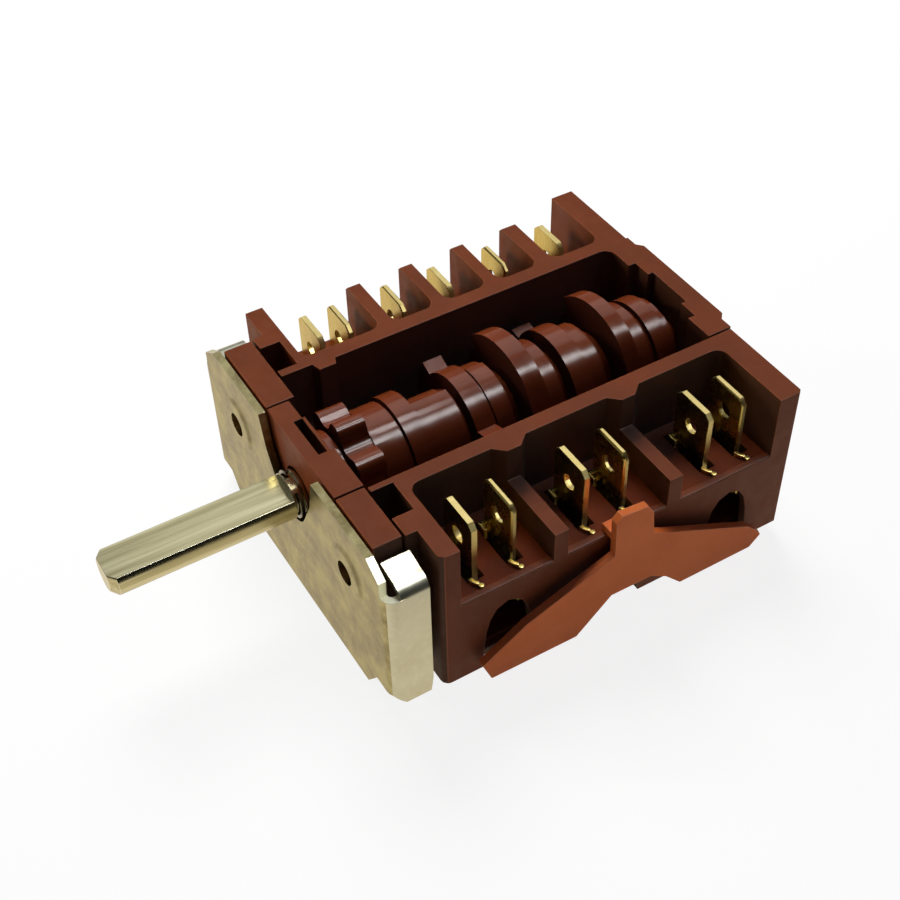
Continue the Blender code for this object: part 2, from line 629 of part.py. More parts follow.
def flange(side):
    """Side flange of the plate with its front fold and the ear folded in at the top."""
    outer = PLATE_HALF
    inner_r = PLATE_FOLD_R - PLATE_T
    centre = (outer - PLATE_FOLD_R, PLATE_FOLD_R)
    plan = ([(centre[0] - 0.5, 0.0)] + fold_arc(centre, PLATE_FOLD_R, -90.0, 0.0)
            + [(outer, EAR_FRONT_Y + 0.5), (outer - PLATE_T, EAR_FRONT_Y + 0.5)]
            + fold_arc(centre, inner_r, 0.0, -90.0) + [(centre[0] - 0.5, PLATE_T)])
    body = prism_z("flange", mirror_x(plan, side), FLANGE_BOTTOM_Z, PLATE_CHAMFER_Z - EAR_RELIEF)
    top = (outer - PLATE_FOLD_R, FLANGE_TOP_Z - PLATE_FOLD_R)
    section = ([(outer - PLATE_T, FLANGE_BOTTOM_Z), (outer, FLANGE_BOTTOM_Z)]
               + fold_arc(top, PLATE_FOLD_R, 0.0, 90.0)
               + [(EAR_IN_X, FLANGE_TOP_Z), (EAR_IN_X, FLANGE_TOP_Z - PLATE_T)]
               + fold_arc(top, inner_r, 90.0, 0.0))
    join(body, [prism_y("ear", mirror_x(section, side), EAR_FRONT_Y, FLANGE_REAR_Y)])
    rear = FLANGE_REAR_Y
    low = FLANGE_BOTTOM_Z
    left, right = sorted((side * (outer - 3.0), side * (outer + 1.0)))
    rear_low = ((rear + 1.0, low - 1.0), (rear + 1.0, low + FLANGE_CHAMFER_Z),
                (rear, low + FLANGE_CHAMFER_Z), (rear - FLANGE_CHAMFER_Y, low),
                (rear - FLANGE_CHAMFER_Y, low - 1.0))
    front_low = ((-1.0, low - 1.0), (EAR_FRONT_Y, low - 1.0), (EAR_FRONT_Y, low),
                 (0.3, PLATE_SIDE_LOW_Z), (-1.0, PLATE_SIDE_LOW_Z))
    return cut(body, [prism_x("rear_low", rear_low, left, right),
                      prism_x("front_low", front_low, left, right)])


def build_front_plate():
    """Plated steel front plate with side flanges, spindle notch and two fixing holes."""
    plate = prism_y("front_plate", plate_outline(), 0.0, PLATE_T)
    adds = [flange(1), flange(-1)]
    holes = [prism_y("notch", notch_outline(), -1.0, PLATE_T + 1.0)]
    for side in (-1, 1):
        centre = (side * FIXING_X, AXIS_Z)
        top = FIXING_RING_H
        profile = ((-top, FIXING_RING_R - 2 * top), (0.0, FIXING_RING_R), (0.5, FIXING_RING_R))
        adds.append(turned("ring", profile, centre, 24))
        holes.append(turned("hole", ((-1.0, FIXING_R), (PLATE_T + 1.0, FIXING_R)), centre, 20))
    join(plate, adds)
    cut(plate, holes)
    return finish(plate, (0.5, 0.47, 0.38), 0.35, 1.0)


def build_spindle():
    """Round spindle with a flat for the knob and a groove for the retaining ring."""
    groove, rear = RING_GROOVE_Y
    chamfer = SPINDLE_CHAMFER
    spindle = turned("spindle", ((SPINDLE_TIP_Y, SPINDLE_R - chamfer), (SPINDLE_TIP_Y + chamfer, SPINDLE_R),
                                 (groove, SPINDLE_R), (groove, RING_GROOVE_R), (rear, RING_GROOVE_R),
                                 (rear, SPINDLE_R), (SPINDLE_END_Y, SPINDLE_R)), steps=32)
    flat = box("flat", (-PAST, PAST), (SPINDLE_TIP_Y - 1.0, SPINDLE_FLAT_END_Y),
               (AXIS_Z + SPINDLE_FLAT, AXIS_Z + PAST))
    cut(spindle, [flat])
    set_origin(spindle, (0.0, 0.0, AXIS_Z))
    finish(spindle, (0.5, 0.5, 0.42), 0.3, 1.0)
    return spindle


def build_retaining_ring():
    """Open ring that keeps the spindle in its bearing block."""
    inner = RING_GROOVE_R + GAP
    loops = []
    for y in (RING_Y, RING_Y + RING_T):
        loop = []
        for radius, turns in ((RING_R, range(RING_STEPS + 1)), (inner, range(RING_STEPS, -1, -1))):
            for step in turns:
                turn = math.radians(RING_START + RING_SWEEP * step / RING_STEPS)
                loop.append((radius * math.cos(turn), y, AXIS_Z + radius * math.sin(turn)))
        loops.append(loop)
    ring = loft("retaining_ring", loops)
    set_origin(ring, (0.0, 0.0, AXIS_Z))
    finish(ring, (0.35, 0.34, 0.3), 0.4, 1.0)
    return ring


def lobe_radius(angle, base, lobes):
    """Radius of a cam ring at an angle, with sloped flanks inside each lobe."""
    radius = base
    for start, end, height, rise in lobes:
        into = (angle - start) % 360.0
        left = end - start - into
        if left >= 0.0:
            share = min(into / rise, left / FLANK, 1.0)
            radius = max(radius, base + (height - base) * share)
    return radius


def cam_outline(base, lobes):
    """Outline of one cam ring as (x, z) points."""
    angles = {round(360.0 * step / ROUND_STEPS, 4) for step in range(ROUND_STEPS)}
    edges = {edge % 360.0 for start, end, _, rise in lobes
             for edge in (start, start + rise, end - FLANK, end)}
    for edge in edges:
        angles = {angle for angle in angles if abs((angle - edge + 180.0) % 360.0 - 180.0) > 1.4}
    angles |= edges
    return [radial(angle, lobe_radius(angle, base, lobes)) for angle in sorted(angles)]


def star_outline():
    """Outline of the detent star, with round crests and round valleys."""
    points = []
    count = STAR_TEETH * STAR_POINTS
    for step in range(count):
        angle = STAR_FIRST + 360.0 * step / count
        wave = math.cos(math.radians(STAR_TEETH * (angle - STAR_FIRST)))
        points.append(radial(angle, STAR_MEAN_R + STAR_WAVE * wave * (1.5 - 0.5 * wave * wave)))
    return points


def build_cam_drum():
    """Moulded drum with the detent star, six cam tracks, grooves and rear journal."""
    rings = []
    front = DRUM_FRONT_Y
    for index, (rear, base, lobes) in enumerate(DRUM_RINGS):
        if front == STAR_FRONT_Y:
            rings.append(prism_y("star", star_outline(), STAR_FRONT_Y, STAR_REAR_Y))
        else:
            rings.append(prism_y("ring", cam_outline(base, lobes), front, rear))
        front = rear
    drum = rings[0]
    drum.name = "cam_drum"
    join(drum, rings[1:])
    socket = turned("socket", ((0.0, SPINDLE_R + GAP), (SPINDLE_END_Y + GAP, SPINDLE_R + GAP)), steps=32)
    cut(drum, [socket])
    set_origin(drum, (0.0, 0.0, AXIS_Z))
    return brown(drum, (0.19, 0.05, 0.02))


def build_detent():
    """Round-nosed plunger that drops into the star, and the coil spring behind it."""
    nose = [(DETENT_NOSE_R + DETENT_R * (1 - math.cos(math.radians(turn))),
             DETENT_R * math.sin(math.radians(turn))) for turn in (12.0, 40.0, 68.0, 90.0)]
    plunger = radial_turned("detent_plunger", nose + [(DETENT_TAIL_R, DETENT_R)], DETENT_ANGLE, DETENT_Y, 12)
    finish(plunger, (0.55, 0.55, 0.5), 0.3, 1.0)
    start = DETENT_TAIL_R + GAP + SPRING_WIRE_R
    end = DETENT_BORE_END - GAP - SPRING_WIRE_R
    loops = []
    total = SPRING_TURNS * SPRING_STEPS
    for step in range(total + 1):
        turn = 2 * math.pi * step / SPRING_STEPS
        loop = []
        for corner in range(5):
            wire = 2 * math.pi * corner / 5
            ring = SPRING_R + SPRING_WIRE_R * math.cos(wire)
            distance = start + (end - start) * step / total + SPRING_WIRE_R * math.sin(wire)
            x, z = radial(DETENT_ANGLE, distance, ring * math.sin(turn))
            loop.append((x, DETENT_Y + ring * math.cos(turn), z))
        loops.append(loop)
    spring = loft("detent_spring", loops)
    finish(spring, (0.45, 0.45, 0.45), 0.35, 1.0, 60.0)
    return [plunger, spring]


def build_tappet(name, side, y, cam_r):
    """Plunger between a cam track and its contact leaf."""
    tip = cam_r + GAP
    tail = LEAF_U - GAP
    collar = tail - TAPPET_COLLAR_BACK
    profile = ((tip, TAPPET_TIP_R), (tip + TAPPET_TIP, TAPPET_R), (collar - TAPPET_COLLAR_T, TAPPET_R),
               (collar - TAPPET_COLLAR_T, TAPPET_COLLAR_R), (collar, TAPPET_COLLAR_R), (collar, TAPPET_R),
               (tail - TAPPET_TIP, TAPPET_R), (tail, TAPPET_TIP_R))
    tappet = radial_turned("tappet_" + name, profile, tappet_angle(side), y)
    return finish(tappet, (0.6, 0.56, 0.45), 0.45, 0.0)


def tilted_rect(side, near, far, low, high):
    """Outline of a rectangle laid across the tappet ray of one side."""
    angle = tappet_angle(side)
    return [radial(angle, distance, side * across)
            for distance, across in ((near, low), (far, low), (far, high), (near, high))]


def brass(target):
    """Finish a contact piece in brass."""
    return finish(target, (0.72, 0.56, 0.2), 0.3, 1.0)


def build_fixed_terminal(name, side, tab, face, contact):
    """Tab terminal with the fixed contact on its inner lug."""
    lug = tilted_rect(1, face - LUG_T, face, -0.6, 1.6)
    outline = tab_outline(side) + [(FOOT_IN_X + 3.4, TAB_FOOT_Z - 1.2), lug[2], lug[1], lug[0],
                                   (FOOT_IN_X, lug[3][1]), (FOOT_IN_X, TAB_FOOT_Z - 0.6)]
    terminal = prism_y("terminal_" + name, mirror_x(outline, side), tab - TAB_T / 2, tab + TAB_T / 2)
    toward = math.copysign(1.0, contact - tab)
    front, rear = sorted((tab, contact + toward * (RIVET_R + 0.05)))
    arm = prism_y("arm", mirror_x(lug, side), front, rear)
    rivet = radial_turned("rivet", ((face - 0.3, RIVET_R), (face + RIVET_H, RIVET_R)),
                          tappet_angle(side), contact)
    return brass(cut(join(terminal, [arm, rivet]), [tab_hole(side, tab)]))


def build_moving_terminal(name, side, tab, root):
    """Tab terminal whose outer lug carries the root of the contact leaf."""
    near = LEAF_U + LEAF_T + GAP
    lug = tilted_rect(1, near, near + LUG_T, -1.2, 1.2)
    column = FOOT_OUT_X - 1.7
    outline = tab_outline(side) + [(FOOT_OUT_X, TAB_FOOT_Z - 1.0), (FOOT_OUT_X, 1.2), lug[2], lug[1],
                                   lug[0], lug[3], (column, 1.6), (column, TAB_FOOT_Z - 1.6)]
    terminal = prism_y("terminal_" + name, mirror_x(outline, side), tab - TAB_T / 2, tab + TAB_T / 2)
    toward = math.copysign(1.0, root - tab)
    front, rear = sorted((tab, root + toward * LEAF_OVER))
    arm = prism_y("arm", mirror_x(lug, side), front, rear)
    return brass(cut(join(terminal, [arm]), [tab_hole(side, tab)]))


def build_leaf(name, side, root, contact, tappet):
    """Contact leaf with its contact rivet, hinged at its root."""
    toward = math.copysign(1.0, tappet - root)
    reach = max(abs(tappet - root), abs(contact - root)) + LEAF_PAST - 0.3
    front, rear = sorted((root - toward * LEAF_OVER, root + toward * reach))
    outline = tilted_rect(1, LEAF_U, LEAF_U + LEAF_T, -LEAF_HALF, LEAF_HALF)
    leaf = prism_y("leaf_" + name, mirror_x(outline, side), front, rear)
    rivet = radial_turned("rivet", ((LEAF_U - RIVET_H, RIVET_R), (LEAF_U + LEAF_T / 2, RIVET_R)),
                          tappet_angle(side), contact)
    join(leaf, [rivet])
    x, z = radial(tappet_angle(side), LEAF_U + LEAF_T / 2)
    set_origin(leaf, (x, root, z))
    return finish(leaf, (0.6, 0.33, 0.16), 0.35, 1.0)


def build_contacts():
    """Six contact sets: tappet, leaf, fixed terminal and moving terminal each."""
    for name, side, tappet, cam_r, fixed, moving, root, contact in CONTACTS:
        swing = RISE * abs(contact - root) / abs(tappet - root)
        face = LEAF_U - 2 * RIVET_H - GAP - swing
        build_tappet(name, side, tappet, cam_r)
        build_leaf(name, side, root, contact, tappet)
        build_fixed_terminal(name + "_fixed", side, fixed, face, contact)
        build_moving_terminal(name + "_moving", side, moving, root)


def build_side_clip():
    """Orange latch clip: two wings, a hook over the bay floor and a tongue in the middle arch."""
    inner = CLIP_OUT_X - CLIP_T
    clip = prism_x("side_clip", CLIP_SHAPE, inner, CLIP_OUT_X)
    low = FLOOR_Z + GAP
    hook = box("hook", (CLIP_HOOK_IN_X, inner + 0.3), CLIP_NECK, (low, low + CLIP_HOOK_T))
    tongue = box("tongue", (CLIP_ARCH_IN_X, inner + 0.3),
                 (ARCH_Y[1] - CLIP_ARCH_HALF, ARCH_Y[1] + CLIP_ARCH_HALF), CLIP_ARCH_Z)
    join(clip, [hook, tongue])
    return finish(clip, (0.36, 0.1, 0.05), 0.5, 0.0)


def build_all():
    """Build every piece of the switch."""
    for item in list(bpy.data.objects):
        bpy.data.objects.remove(item)
    build_main_housing()
    build_right_block()
    build_base_cover("left_base_cover", LEFT_CHAMBERS, -1)
    build_base_cover("right_base_cover", RIGHT_CHAMBERS, 1)
    build_front_blocks()
    build_front_plate()
    build_spindle()
    build_retaining_ring()
    build_cam_drum()
    build_detent()
    build_contacts()
    build_side_clip()


build_all()
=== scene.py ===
import json
import math

import bpy
from mathutils import Matrix, Vector

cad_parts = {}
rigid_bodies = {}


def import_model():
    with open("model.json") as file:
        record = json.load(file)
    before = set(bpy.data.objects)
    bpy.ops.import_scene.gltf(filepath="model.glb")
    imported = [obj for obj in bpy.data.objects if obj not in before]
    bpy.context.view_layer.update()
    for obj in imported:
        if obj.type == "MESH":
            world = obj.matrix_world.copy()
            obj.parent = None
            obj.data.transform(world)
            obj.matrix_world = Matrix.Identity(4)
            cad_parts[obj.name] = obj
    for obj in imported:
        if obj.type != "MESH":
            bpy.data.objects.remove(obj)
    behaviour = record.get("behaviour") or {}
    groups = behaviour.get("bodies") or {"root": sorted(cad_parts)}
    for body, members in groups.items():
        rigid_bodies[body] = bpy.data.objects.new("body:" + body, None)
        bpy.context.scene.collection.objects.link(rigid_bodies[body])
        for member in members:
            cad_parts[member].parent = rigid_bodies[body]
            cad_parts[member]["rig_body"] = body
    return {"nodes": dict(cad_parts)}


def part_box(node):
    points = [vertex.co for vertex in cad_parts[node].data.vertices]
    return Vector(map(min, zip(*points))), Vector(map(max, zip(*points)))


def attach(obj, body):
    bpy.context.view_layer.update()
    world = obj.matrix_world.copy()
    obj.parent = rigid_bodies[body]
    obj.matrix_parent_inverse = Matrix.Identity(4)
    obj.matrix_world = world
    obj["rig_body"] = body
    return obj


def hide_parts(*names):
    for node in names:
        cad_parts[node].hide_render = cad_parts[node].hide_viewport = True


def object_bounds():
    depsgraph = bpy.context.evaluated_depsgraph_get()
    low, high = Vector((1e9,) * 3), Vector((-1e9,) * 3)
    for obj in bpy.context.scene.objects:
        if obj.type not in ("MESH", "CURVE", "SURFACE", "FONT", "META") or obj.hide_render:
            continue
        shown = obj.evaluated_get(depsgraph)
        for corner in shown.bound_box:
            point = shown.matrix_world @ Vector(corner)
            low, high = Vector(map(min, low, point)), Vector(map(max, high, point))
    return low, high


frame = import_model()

cad_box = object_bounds()
nodes = frame["nodes"]

# The camera stands to the right, above and a little in front of the switch. Its place, line of
# sight and lens come from the straight edges, the holes and the spindle in the picture.
eye = bpy.data.objects.new("camera", bpy.data.cameras.new("camera"))
bpy.context.scene.collection.objects.link(eye)
eye_place = (0.116152, -0.044193, 0.139202)
sight = Vector((-0.61365, 0.35407, -0.70574)).normalized()
nearly_up = Vector((-0.59834, 0.37468, 0.70824))
across = sight.cross(nearly_up).normalized()
upright = across.cross(sight)
eye.matrix_world = Matrix.Translation(eye_place) @ Matrix(
    (across, upright, -sight)).transposed().to_4x4()
eye.data.lens = 58.156
eye.data.sensor_width = 36.0
eye.data.clip_start = 0.01
bpy.context.scene.camera = eye
bpy.context.scene.view_settings.view_transform = "Standard"


# The studio is a white painted table in a dim room. The camera sees the table white and gloss sees
# it warm. The light that it returns to the sides of the switch is weaker than that on the tops.
def linear(text):
    """Linear colour of an sRGB hex value."""
    parts = [int(text[start:start + 2], 16) / 255 for start in (0, 2, 4)]
    return tuple(part / 12.92 if part <= 0.04045 else ((part + 0.055) / 1.055) ** 2.4
                 for part in parts) + (1.0,)


def add_node(tree, kind, settings=(), links=()):
    """Add a node with its settings, given by name or by input, and its links."""
    node = tree.nodes.new(kind)
    for key, value in dict(settings).items():
        if isinstance(key, str) and hasattr(node, key):
            setattr(node, key, value)
        else:
            node.inputs[key].default_value = value
    for socket, source in dict(links).items():
        tree.links.new(source, node.inputs[socket])
    return node


def seen_directly(tree):
    """1 for rays from the camera and for those that metal or glass sends on."""
    path = add_node(tree, "ShaderNodeLightPath")
    either = add_node(tree, "ShaderNodeMath", {"operation": "MAXIMUM"},
                      {0: path.outputs["Is Camera Ray"], 1: path.outputs["Is Glossy Ray"]})
    return add_node(tree, "ShaderNodeMath", {"operation": "MAXIMUM"},
                    {0: either.outputs[0], 1: path.outputs["Is Transmission Ray"]}).outputs[0]


dim_light = 0.03     # share of full white that the room gives to dull surfaces
mirror_light = 0.12  # what metal and gloss see on top of it
room = bpy.data.worlds.new("dim_room")
bpy.context.scene.world = room
room.use_nodes = True
air = room.node_tree
air.nodes.clear()
room_path = add_node(air, "ShaderNodeLightPath")
room_light = add_node(air, "ShaderNodeMapRange", {"To Min": dim_light, "To Max": 1.0},
                      {"Value": room_path.outputs["Is Camera Ray"]})
room_mirror = add_node(air, "ShaderNodeMath", {"operation": "MAXIMUM"},
                       {0: room_path.outputs["Is Glossy Ray"],
                        1: room_path.outputs["Is Transmission Ray"]})
room_sheen = add_node(air, "ShaderNodeMath", {"operation": "MULTIPLY_ADD", 1: mirror_light},
                      {0: room_mirror.outputs[0], 2: room_light.outputs[0]})
room_air = add_node(air, "ShaderNodeBackground", {"Color": linear("FFFFFF")},
                    {"Strength": room_sheen.outputs[0]})
add_node(air, "ShaderNodeOutputWorld", {}, {"Surface": room_air.outputs[0]})

air_gap = 0.00002
bpy.ops.object.select_all(action="DESELECT")
bpy.ops.mesh.primitive_plane_add(size=3.0, location=(0.0, 0.0, cad_box[0].z - air_gap))
table = bpy.context.object
table.name = "table_top"
painted_board = bpy.data.materials.new("painted_board")
painted_board.use_nodes = True
board = painted_board.node_tree
board.nodes.clear()
board_dull = add_node(board, "ShaderNodeBsdfDiffuse", {"Color": linear("EAEAE8")})
board_return = add_node(board, "ShaderNodeEmission", {"Color": linear("FFFFFF"), "Strength": 0.26})
board_dim = add_node(board, "ShaderNodeAddShader", {},
                     {0: board_return.outputs[0], 1: board_dull.outputs[0]})
board_shade = add_node(board, "ShaderNodeBsdfDiffuse", {"Color": linear("787878")})
board_path = add_node(board, "ShaderNodeLightPath")
board_tint = add_node(board, "ShaderNodeMix",
                      {"data_type": "RGBA", 6: linear("F2E4CC"), 7: linear("FFFFFF")},
                      {0: board_path.outputs["Is Camera Ray"]})
board_glow = add_node(board, "ShaderNodeEmission", {"Strength": 0.86},
                      {"Color": board_tint.outputs[2]})
board_pale = add_node(board, "ShaderNodeAddShader", {},
                      {0: board_glow.outputs[0], 1: board_shade.outputs[0]})
board_mix = add_node(board, "ShaderNodeMixShader", {},
                     {0: seen_directly(board), 1: board_dim.outputs[0], 2: board_pale.outputs[0]})
add_node(board, "ShaderNodeOutputMaterial", {}, {"Surface": board_mix.outputs[0]})
table.data.materials.append(painted_board)


# A soft lamp behind the left side lights the tops and leaves the chambers dark, and a low one in
# front on the left lights the plate. Metal and gloss see three others instead: a wide dim pane in
# the spindle's flat and the blades, a bright one in the folded ear, and a strip along the drum.
middle = Vector((0.0, 0.025, 0.010))


def soft_lamp(name, direction, distance, width, height, radiance, seen_in_gloss, lights):
    """Flat lamp of one brightness all over, aimed at the switch."""
    light = bpy.data.lights.new(name, "AREA")
    light.shape = "RECTANGLE"
    light.size = width
    light.size_y = height
    light.energy = radiance * math.pi * width * height
    lamp = bpy.data.objects.new(name, light)
    bpy.context.scene.collection.objects.link(lamp)
    toward = Vector(direction).normalized()
    side = Vector((0.0, 1.0, 0.0)).cross(toward).normalized()
    lamp.matrix_world = Matrix.Translation(middle + toward * distance) @ Matrix(
        (side, toward.cross(side), toward)).transposed().to_4x4()
    lamp.visible_camera = False
    lamp.visible_glossy = seen_in_gloss
    lamp.visible_diffuse = lights


for lamp_facts in (
        # name, direction, distance, width, height, radiance, seen in gloss, lights dull surfaces
        ("lamp_behind_left", (-0.62, 0.16, 0.77), 0.55, 0.30, 0.30, 9.2, False, True),
        ("lamp_low_left", (-0.70, -0.71, 0.065), 0.55, 0.26, 0.07, 34.0, False, True),
        ("pane_in_the_flats", (-0.61, 0.32, 0.72), 0.55, 0.34, 0.38, 0.72, True, False),
        ("pane_in_the_ear", (-0.151, 0.240, 0.959), 0.4955, 0.10, 0.10, 9.0, True, False),
        ("strip_over_drum", (0.20, 0.327, 0.92), 0.55, 0.09, 0.32, 40.0, True, False)):
    soft_lamp(*lamp_facts)

# A black card stands upright beside the switch. It gives the round of the spindle its dark line,
# and only gloss sees it.
bpy.ops.object.select_all(action="DESELECT")
bpy.ops.mesh.primitive_plane_add(size=1.0, location=(0.048, 0.000, 0.0125),
                                 rotation=(0.0, math.pi / 2, 0.0), scale=(0.035, 0.054, 1.0))
card = bpy.context.object
card.name = "black_card"
card.visible_camera = False
card.visible_diffuse = False
card.visible_shadow = False
card_black = bpy.data.materials.new("black_card")
card_black.use_nodes = True
card_black.node_tree.nodes.clear()
card_paper = add_node(card_black.node_tree, "ShaderNodeBsdfDiffuse", {"Color": linear("0A0A0A")})
add_node(card_black.node_tree, "ShaderNodeOutputMaterial", {}, {"Surface": card_paper.outputs[0]})
card.data.materials.append(card_black)


# The body is two brown phenolic mouldings, three smaller blocks behind the plate, and two covers
# that close the contact chambers below. Moulding leaves a fine speckle of filler and a dull skin.
# Tumbling to take off the flash pales the edges. Walls and floors inside the trough, the bays,
# the pockets and the chambers are painted darker and duller: painted shade.
def fine_noise(tree, place, size_mm, detail=3.0, rough=0.55):
    """Noise with features of a real size."""
    noise = add_node(tree, "ShaderNodeTexNoise",
                     {"Scale": 1000.0 / size_mm, "Detail": detail, "Roughness": rough},
                     {"Vector": place})
    return noise.outputs["Fac"]


def spread(tree, value, low, high, start=0.3, end=0.7):
    """Map the middle of a noise onto a range."""
    return add_node(tree, "ShaderNodeMapRange", {"From Min": start, "From Max": end, "To Min": low,
                                                 "To Max": high}, {"Value": value}).outputs[0]


def blend_colours(tree, share, first, second):
    """Mix two colours, each a socket or a hex value, by a share."""
    settings = {"data_type": "RGBA"}
    links = {0: share}
    for index, colour in ((6, first), (7, second)):
        if isinstance(colour, str):
            settings[index] = linear(colour)
        else:
            links[index] = colour
    return add_node(tree, "ShaderNodeMix", settings, links).outputs[2]


def new_finish(name):
    """Empty material with its tree and Object coordinates."""
    material = bpy.data.materials.new(name)
    material.use_nodes = True
    material.node_tree.nodes.clear()
    place = add_node(material.node_tree, "ShaderNodeTexCoord").outputs["Object"]
    return material, material.node_tree, place


def close_finish(tree, fixed, links):
    """Principled shader with its constants on its own sockets."""
    shader = add_node(tree, "ShaderNodeBsdfPrincipled", fixed, links)
    add_node(tree, "ShaderNodeOutputMaterial", {}, {"Surface": shader.outputs[0]})


def moulded(name, dark, mid, pale, rough, grain_mm=0.35, gloss=0.25, relief=0.00002,
            uneven=0.08):
    """Filled thermoset: slow cloudiness, fine filler speckle and a slightly uneven skin."""
    material, tree, place = new_finish(name)
    cloud = fine_noise(tree, place, 9.0, 3.0)
    speck = fine_noise(tree, place, grain_mm, 4.0, 0.7)
    body = blend_colours(tree, spread(tree, cloud, 0.0, 1.0, 0.35, 0.65), dark, mid)
    colour = blend_colours(tree, spread(tree, speck, 0.0, 0.5, 0.55, 0.85), body, pale)
    dull = spread(tree, fine_noise(tree, place, 1.7, 4.0), rough - uneven, rough + uneven)
    bump = add_node(tree, "ShaderNodeBump", {"Strength": 0.5, "Distance": relief},
                    {"Height": speck})
    close_finish(tree, {"Specular IOR Level": gloss, "IOR": 1.55},
                 {"Base Color": colour, "Roughness": dull, "Normal": bump.outputs[0]})
    return material


def pick(piece):
    """Make one object the only selected one, and the active one."""
    bpy.ops.object.select_all(action="DESELECT")
    bpy.context.view_layer.objects.active = piece
    piece.select_set(True)


def soften(piece, width, finish, edge_finish, segments=2, limit=30.0, crisp=180.0):
    """Break the edges of a closed mesh by a small radius that has its own finish.

    Edges sharper than limit are broken, and those that are then sharper than crisp stay crisp.
    """
    pick(piece)
    piece.data.materials.clear()
    piece.data.materials.append(finish)
    piece.data.materials.append(edge_finish)
    for face in piece.data.polygons:
        face.material_index = 0
    edges = piece.modifiers.new("edges", "BEVEL")
    edges.width = width
    edges.segments = segments
    edges.limit_method = "ANGLE"
    edges.angle_limit = math.radians(limit)
    edges.use_clamp_overlap = True
    edges.material = 1
    bpy.ops.object.modifier_apply(modifier="edges")
    bpy.ops.object.shade_smooth_by_angle(angle=math.radians(crisp))
    even = piece.modifiers.new("even", "WEIGHTED_NORMAL")
    even.keep_sharp = True
    bpy.ops.object.modifier_apply(modifier="even")


same_place = 0.000002           # corners this close together are one corner
same_plane = math.radians(0.6)  # faces that meet at less than this are one face
faces_up = 0.5                  # upright part of the normal of a floor or a top


def edged_copy(node, width, finish, edge_finish, segments=2, limit=30.0, crisp=180.0):
    """Stand a copy of a CAD node, as one skin with softened edges, in the node's place."""
    piece = bpy.data.objects.new(node + "_shaped", nodes[node].data.copy())
    bpy.context.scene.collection.objects.link(piece)
    pick(piece)
    bpy.ops.object.mode_set(mode="EDIT")
    bpy.ops.mesh.select_all(action="SELECT")
    bpy.ops.mesh.remove_doubles(threshold=same_place)
    bpy.ops.mesh.dissolve_limited(angle_limit=same_plane)
    bpy.ops.object.mode_set(mode="OBJECT")
    soften(piece, width, finish, edge_finish, segments, limit, crisp)
    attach(piece, nodes[node]["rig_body"])
    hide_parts(node)
    return piece


body_low, body_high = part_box("main_housing")
trough_left, bays_right = -0.0141, 0.0248
blocks_front, rear_wall = 0.0015, 0.0014
floor_skin, top_skin = 0.0003, 0.0002
bay_floor_top = 0.0087


def takes_painted_shade(centre, normal):
    """True for a face inside the trough, a right bay, a pocket or a chamber, but not for a top: a
    face that is painted with shade.
    """
    inside = (trough_left < centre.x < bays_right
              and blocks_front < centre.y < body_high.y - rear_wall
              and body_low.z + floor_skin < centre.z < body_high.z - top_skin)
    return inside and (normal.z < faces_up or centre.z < bay_floor_top)


body_brown = moulded("brown_phenolic", "723516", "7E3B19", "90502A", rough=0.52, gloss=0.15)
body_edge = moulded("brown_phenolic_edge", "87441F", "904C26", "A2623C", rough=0.44, gloss=0.2)
# Darker, duller copies of the brown for the inside walls and floors: painted shade.
chamber_painted_shade = moulded("brown_phenolic_chamber_painted_shade", "50301F", "583624", "6A4630", rough=0.6,
                        gloss=0.15)
floor_painted_shade = moulded("brown_phenolic_floor_painted_shade", "6E2F16", "7A381B", "8C4A2C", rough=0.6, gloss=0.06)
for block in ("main_housing", "right_contact_block", "front_block_left", "front_block_right",
              "bearing_block", "left_base_cover", "right_base_cover"):
    moulding = edged_copy(block, width=0.00012, finish=body_brown, edge_finish=body_edge)
    moulding.data.materials.append(chamber_painted_shade)
    moulding.data.materials.append(floor_painted_shade)
    # Inside walls and floors get the painted shade, the floors in their own copy.
    for face in moulding.data.polygons:
        if takes_painted_shade(face.center, face.normal):
            face.material_index = 3 if face.normal.z > faces_up else 2


# A low lip runs along the outer edge of each right bay's floor, moulded with it, so that a terminal
# that comes loose stays inside. Its top is raised a little along the middle.
def solid_bar(middle_of_bar, size):
    """Bar with its own mesh, in the place and size given, with nothing else selected."""
    bpy.ops.object.select_all(action="DESELECT")
    bpy.ops.mesh.primitive_cube_add(size=1.0, location=middle_of_bar, scale=size)
    bpy.ops.object.transform_apply(location=True, rotation=True, scale=True)
    return bpy.context.object


def open_faces(piece, wanted):
    """Open a piece for editing with the faces selected that pass a test."""
    bpy.ops.object.mode_set(mode="EDIT")
    bpy.ops.mesh.select_mode(type="FACE")
    bpy.ops.mesh.select_all(action="DESELECT")
    bpy.ops.object.mode_set(mode="OBJECT")
    for face in piece.data.polygons:
        face.select = wanted(face)
    bpy.ops.object.mode_set(mode="EDIT")


lip_x, lip_z = 0.02448, 0.00847
lip_width, lip_height = 0.00094, 0.00028
lip_land, lip_rise = 0.00022, 0.00005
bay_spans = ((0.0094, 0.0222), (0.0242, 0.0388), (0.0408, 0.0550))
for bay, (bay_front, bay_rear) in enumerate(bay_spans):
    lip = solid_bar((lip_x, (bay_front + bay_rear) / 2, lip_z),
                    (lip_width, bay_rear - bay_front, lip_height))
    lip.name = "bay_lip_%d" % (bay + 1)
    open_faces(lip, lambda face: face.normal.z > 0.9)
    bpy.ops.mesh.inset(thickness=lip_land)
    bpy.ops.transform.translate(value=(0.0, 0.0, lip_rise))
    bpy.ops.object.mode_set(mode="OBJECT")
    soften(lip, width=0.00008, finish=body_brown, edge_finish=body_edge)
    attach(lip, "switch_body")


